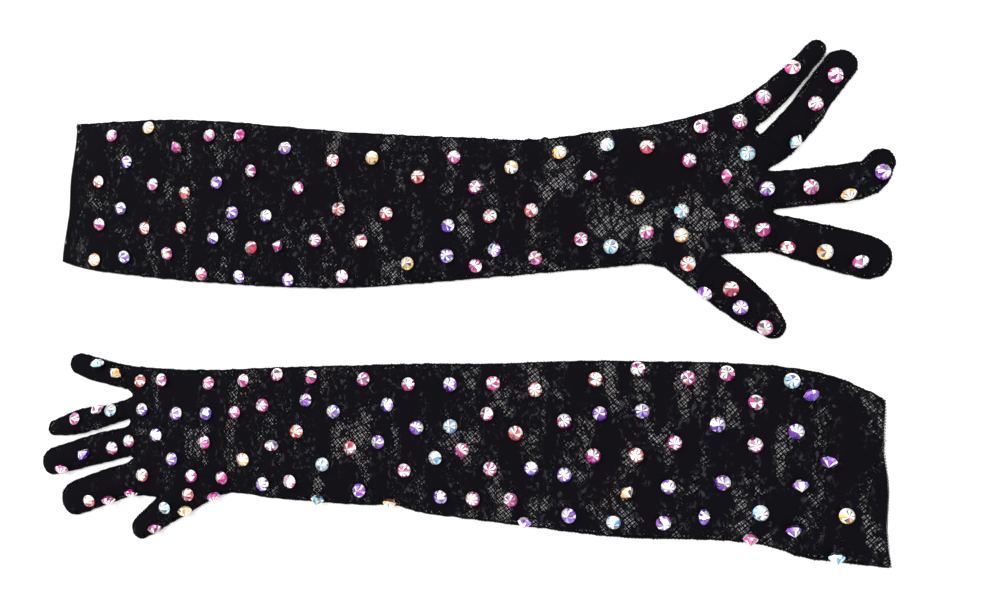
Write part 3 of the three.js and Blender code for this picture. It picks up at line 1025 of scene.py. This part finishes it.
VIOLET = ((0.17, 0.01, 0.5), (0.06, 0.02, 0.55), (0.35, 0.05, 0.6), (0.4, 0.2, 0.8))
GOLD = ((0.9, 0.5, 0.06), (0.95, 0.72, 0.25), (0.75, 0.3, 0.05), (0.95, 0.5, 0.35))
ICE = ((0.3, 0.65, 0.85), (0.12, 0.3, 0.75), (0.45, 0.85, 0.7), (0.7, 0.85, 0.95))
COATS = (MAGENTA,) * 8 + (RED,) * 5 + (VIOLET,) * 6 + (GOLD,) * 2 + (ICE,) * 2
# The side that the painted highlights are on, and how wide it is.
LAMP_SIDE = math.radians(80)
LAMP_SPREAD = math.radians(105)
# Shares of the facets, on the lit side and on the far side, that get a painted highlight and a painted dark
# reflection
HIGHLIGHT_SHARES = {MAIN: (0.84, 0.3), RAY: (0.05, 0.1), RIM: (0.55, 0.1), BACK: (0.3, 0.1)}
DARK_REFLECTION_SHARES = {MAIN: (0.02, 0.06), RAY: (0.7, 0.5), RIM: (0.04, 0.08), BACK: (0.3, 0.4)}
GLINT_SHARE = 0.45  # of what is left of the rays
# Stones with painted highlights on their broad facets all round
LIT_ALL_ROUND_SHARE = 0.3  # of the stones, whose broad facets are white all round


def facet_colour(facet, coat, lit_all_round, lean, rng):
    """The colour painted on one facet, by its kind and the side that it faces: painted highlights and
    painted dark reflections, painted glints on rays, else the coat's colour.
    """
    kind = facet.material_index
    turn = math.atan2(facet.normal.y, facet.normal.x) - LAMP_SIDE - lean
    turn = (turn + math.pi) % (2 * math.pi) - math.pi
    # A facet turned away from the lamp gets no painted highlight, unless its stone is lit all round.
    far = 0 if abs(turn) < LAMP_SPREAD or (lit_all_round and kind == MAIN) else 1
    draw = rng.random()
    if draw < HIGHLIGHT_SHARES[kind][far]:
        return rng.choice(HIGHLIGHT_WHITES)
    if draw < HIGHLIGHT_SHARES[kind][far] + DARK_REFLECTION_SHARES[kind][far]:
        return rng.choice(DARK_REFLECTIONS)
    if kind == RAY and rng.random() < GLINT_SHARE:
        return rng.choice(GLINTS)
    return rng.choice(coat)


def paint_stone(stone, rng):
    """Stores a colour on every corner of every facet: the coat's, or a painted highlight, reflection or
    glint. Corners differ a little within one facet.
    """
    coat_and_highlights = stone.loops.layers.float_color.new("facet_coat_and_highlights")
    coat, lean, lit_all_round = rng.choice(COATS), rng.uniform(-1.1, 1.1), rng.random() < LIT_ALL_ROUND_SHARE
    for facet in stone.faces:
        colour = Vector(facet_colour(facet, coat, lit_all_round, lean, rng))
        other = Vector(facet_colour(facet, coat, lit_all_round, lean, rng))
        for loop in facet.loops:
            mixed = colour.lerp(other, rng.uniform(0, 0.25))
            loop[coat_and_highlights] = (*mixed, 1)


def crystal_material():
    """Foiled glass. The colour of a facet, coat colour or painted highlight and reflection, is stored on the
    stone, and a group adds fine streaks.
    """
    group, given, made = new_group(
        "foil",
        [("Place", "Vector", None), ("Tint", "Color", (1, 1, 1, 1))],
        [("Colour", "Color", None), ("Gloss", "Float", None)],
    )
    clouds = noise_of(group, given.outputs["Place"], 420.0, 2.0, 1.5)
    bright = ramp(group, clouds, 0.55, 0.75, 0.0, 0.12)
    colour = mix_colours(group, bright, given.outputs["Tint"], (0.96, 0.95, 0.97, 1))
    plug(group, made.inputs["Colour"], colour)
    plug(group, made.inputs["Gloss"], ramp(group, clouds, 0.3, 0.7, 0.04, 0.16))
    material, tree, shader = new_material("crystal")
    coat_and_highlights = tree.nodes.new("ShaderNodeVertexColor")
    coat_and_highlights.layer_name = "facet_coat_and_highlights"
    foil = tree.nodes.new("ShaderNodeGroup")
    foil.node_tree = group
    plug(tree, foil.inputs["Place"], tree.nodes.new("ShaderNodeTexCoord").outputs["Object"])
    plug(tree, foil.inputs["Tint"], coat_and_highlights.outputs["Color"])
    plug(tree, shader.inputs["Base Color"], foil.outputs["Colour"])
    plug(tree, shader.inputs["Roughness"], foil.outputs["Gloss"])
    shader.inputs["Metallic"].default_value = 0.45
    shader.inputs["Coat Weight"].default_value = 0.6
    shader.inputs["Coat Roughness"].default_value = 0.03
    return material


CRYSTAL = crystal_material()

# %% [markdown]
# ## Setting the stones
#
# The model gives each patch of stones as one node, and the tip of every stone is its highest
# point. From the tip the table's middle is known. A ray straight down finds the cloth there, the
# stone stands nearly square to the cloth, and it sinks in a little, as into glue.
#
# Not every stone stayed upright. Some tipped over before the glue set. Where the cloth rolls
# over at an edge, and near the cuff of the right glove, most of them lean. Leaning stones at an
# edge hang half over it.

# %% Stones in their places
GLUE_SINK = 0.25 * MM
TIP_DEPTH = 0.1 * MM
TIPPED_SHARE = 0.06
TIPPED = math.radians(51)  # a stone that lies on a facet of its crown
SLACK = 0.14  # radians that any stone may lean
EDGE_ZONE = 6.4 * MM  # from a finger's seam
EDGE_LEAN = math.radians(48)
EDGE_SHIFT = 2.0 * MM
CUFF_ZONE = 68 * MM
CUFF_LEAN = math.radians(42)
CUFF_LEANING = 0.62  # share of the stones near the right cuff
HEM_ZONE = 8.2 * MM  # from the right glove's seam on the thumb side
THUMB_LEAN = math.radians(26)


def stone_tips(node):
    """The tips of all stones in a node of the model."""
    bm = bmesh.new()
    bm.from_mesh(nodes[node].data)
    bmesh.ops.remove_doubles(bm, verts=bm.verts, dist=0.05 * MM)
    top = max(v.co.z for v in bm.verts)
    tips = [v.co.copy() for v in bm.verts if v.co.z > top - TIP_DEPTH]
    bm.free()
    return sorted(tips, key=lambda tip: (round(tip.x, 5), round(tip.y, 5)))


def lean_of(glove, node, tip, rng):
    """How far a stone leans, which way, and how far it has slid that way."""
    from_seam, away = seam_near(glove, tip)
    down = Vector((rng.uniform(-0.35, 0.35), -1, 0)).normalized()
    on_arm = "sleeve" in node or "hand" in node
    if not on_arm and from_seam < EDGE_ZONE and rng.random() < 0.6:
        return EDGE_LEAN * rng.uniform(0.7, 1.2), -away, EDGE_SHIFT
    if glove == "right" and on_arm and from_seam < HEM_ZONE and away.y > 0.5:
        return EDGE_LEAN * rng.uniform(0.9, 1.25), -away, EDGE_SHIFT
    if glove == "right" and abs(tip.x - CUFF_X[glove]) < CUFF_ZONE and rng.random() < CUFF_LEANING:
        return CUFF_LEAN * rng.uniform(0.6, 1.3), down, 0
    if node.endswith(("thumb_crystals", "index_crystals")) and rng.random() < 0.6:
        return THUMB_LEAN * rng.uniform(0.5, 1.3), down, 0
    side = rng.uniform(0, 2 * math.pi)
    anywhere = Vector((math.cos(side), math.sin(side), 0))
    return (TIPPED if rng.random() < TIPPED_SHARE else rng.uniform(0, SLACK)), anywhere, 0


def seat_stone(glove, node, tip, surface, rng):
    """A painted stone, glued below its tip."""
    angle, towards, slide = lean_of(glove, node, tip, rng)
    spot, normal = surface.ray_cast(Vector((tip.x, tip.y, 1)), Vector((0, 0, -1)))[:2]
    upright = Vector((0, 0, 1)).lerp(normal if normal.z > 0 else -normal, 0.7).normalized()
    turn = Matrix.Rotation(rng.uniform(0, 2 * math.pi), 3, "Z")
    lean = Matrix.Rotation(angle, 3, Vector((0, 0, 1)).cross(towards))
    square = Vector((0, 0, 1)).rotation_difference(upright).to_matrix()
    stone = rng.choice(STONES).copy()
    bmesh.ops.translate(stone, verts=stone.verts, vec=(0, 0, -CROWN))
    pose = square @ lean @ turn * rng.uniform(0.98, 1.04)
    bmesh.ops.transform(stone, matrix=pose.to_4x4(), verts=stone.verts)
    lowest = min(v.co.dot(upright) for v in stone.verts)
    place = spot + towards * slide - upright * (lowest + GLUE_SINK)
    bmesh.ops.translate(stone, verts=stone.verts, vec=place)
    stone.normal_update()
    paint_stone(stone, rng)
    mesh = bpy.data.meshes.new("stone")
    stone.to_mesh(mesh)
    stone.free()
    return mesh


rng = random.Random(8)
stone_count = 0
for glove in GLOVES:
    surface = BVHTree.FromBMesh(skins[glove])
    for node in sorted(name for name in nodes if name.startswith(glove) and "_crystals" in name):
        tips = stone_tips(node)
        set_stones = [seat_stone(glove, node, tip, surface, rng) for tip in tips]
        stones = joined(f"{node}_cut", set_stones, CRYSTAL, smooth=False)
        stone_count += len(tips)
        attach(stones, body_of(nodes[node])[0])
        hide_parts(node)
print("stones set:", stone_count)

# %% [markdown]
# ## What is sewn on the cloth
#
# Each piece of lace is a sheet that lies on the table in two layers. Seams, cuffs and loops are
# sewn on. For each piece but the cuff, the cell lists what is sewn on to it: its seam, and on the
# arm also the cuff's lace and loops. The list is not used further.


for (glove, region), (obj, area) in cloth.items():
    if region == "cuff":
        continue
    sewn_on = [f"{glove}_{region}_seam"]
    if region == "arm":
        sewn_on += [f"{glove}_cuff_lace", f"{glove}_cuff_edging"]

# %% [markdown]
# ## Table, light and camera
#
# The gloves lie on a white table in bright, even light that comes from all round, with one
# larger lamp from the upper left. The camera looks down from less than half a metre, a little
# from the right and from below, with a moderately wide lens.

# %% The table
def white_table():
    mesh = bpy.data.meshes.new("white_table")
    bm = bmesh.new()
    bmesh.ops.create_grid(bm, x_segments=2, y_segments=2, size=3)
    bm.to_mesh(mesh)
    bm.free()
    material, tree, shader = new_material("white_table")
    where = tree.nodes.new("ShaderNodeTexCoord").outputs["Object"]
    grain = noise_of(tree, where, 240.0, 3.0)
    colour = mix_colours(tree, grain, (0.86, 0.86, 0.86, 1), (0.9, 0.9, 0.9, 1))
    plug(tree, shader.inputs["Base Color"], colour)
    shader.inputs["Roughness"].default_value = 0.6
    return add_object("white_table", mesh, material)


white_table()

# %% Light and camera
SKY = 1.0
LAMPS = (((-0.5, 0.7, 1.1), 0.9, 14), ((0.8, -0.3, 1.2), 0.8, 7))  # place, size, watts


def aim(obj, place, target):
    """Points a lamp or camera at a target, with the table's far side at the top of its view."""
    forward = (Vector(target) - Vector(place)).normalized()
    right = forward.cross(Vector((0, 1, 0))).normalized()
    turn = Matrix((right, right.cross(forward), -forward)).transposed()
    obj.matrix_world = Matrix.Translation(place) @ turn.to_4x4()
    bpy.context.scene.collection.objects.link(obj)


world = bpy.data.worlds.new("bright_room")
world.use_nodes = True
world.node_tree.nodes["Background"].inputs["Color"].default_value = (1, 1, 1, 1)
world.node_tree.nodes["Background"].inputs["Strength"].default_value = SKY
bpy.context.scene.world = world
for place, size, watts in LAMPS:
    lamp = bpy.data.lights.new("lamp", "AREA")
    lamp.size = size
    lamp.energy = watts
    aim(bpy.data.objects.new("lamp", lamp), place, (0, 0, 0))

camera = bpy.data.cameras.new("camera")
camera.lens = 26
camera.sensor_width = 36
camera.clip_start = 0.01
eye = bpy.data.objects.new("camera", camera)
aim(eye, (0.1493, -0.0267, 0.447), (0.0523, 0.0046, 0))
bpy.context.scene.camera = eye
bpy.context.scene.view_settings.view_transform = "Standard"
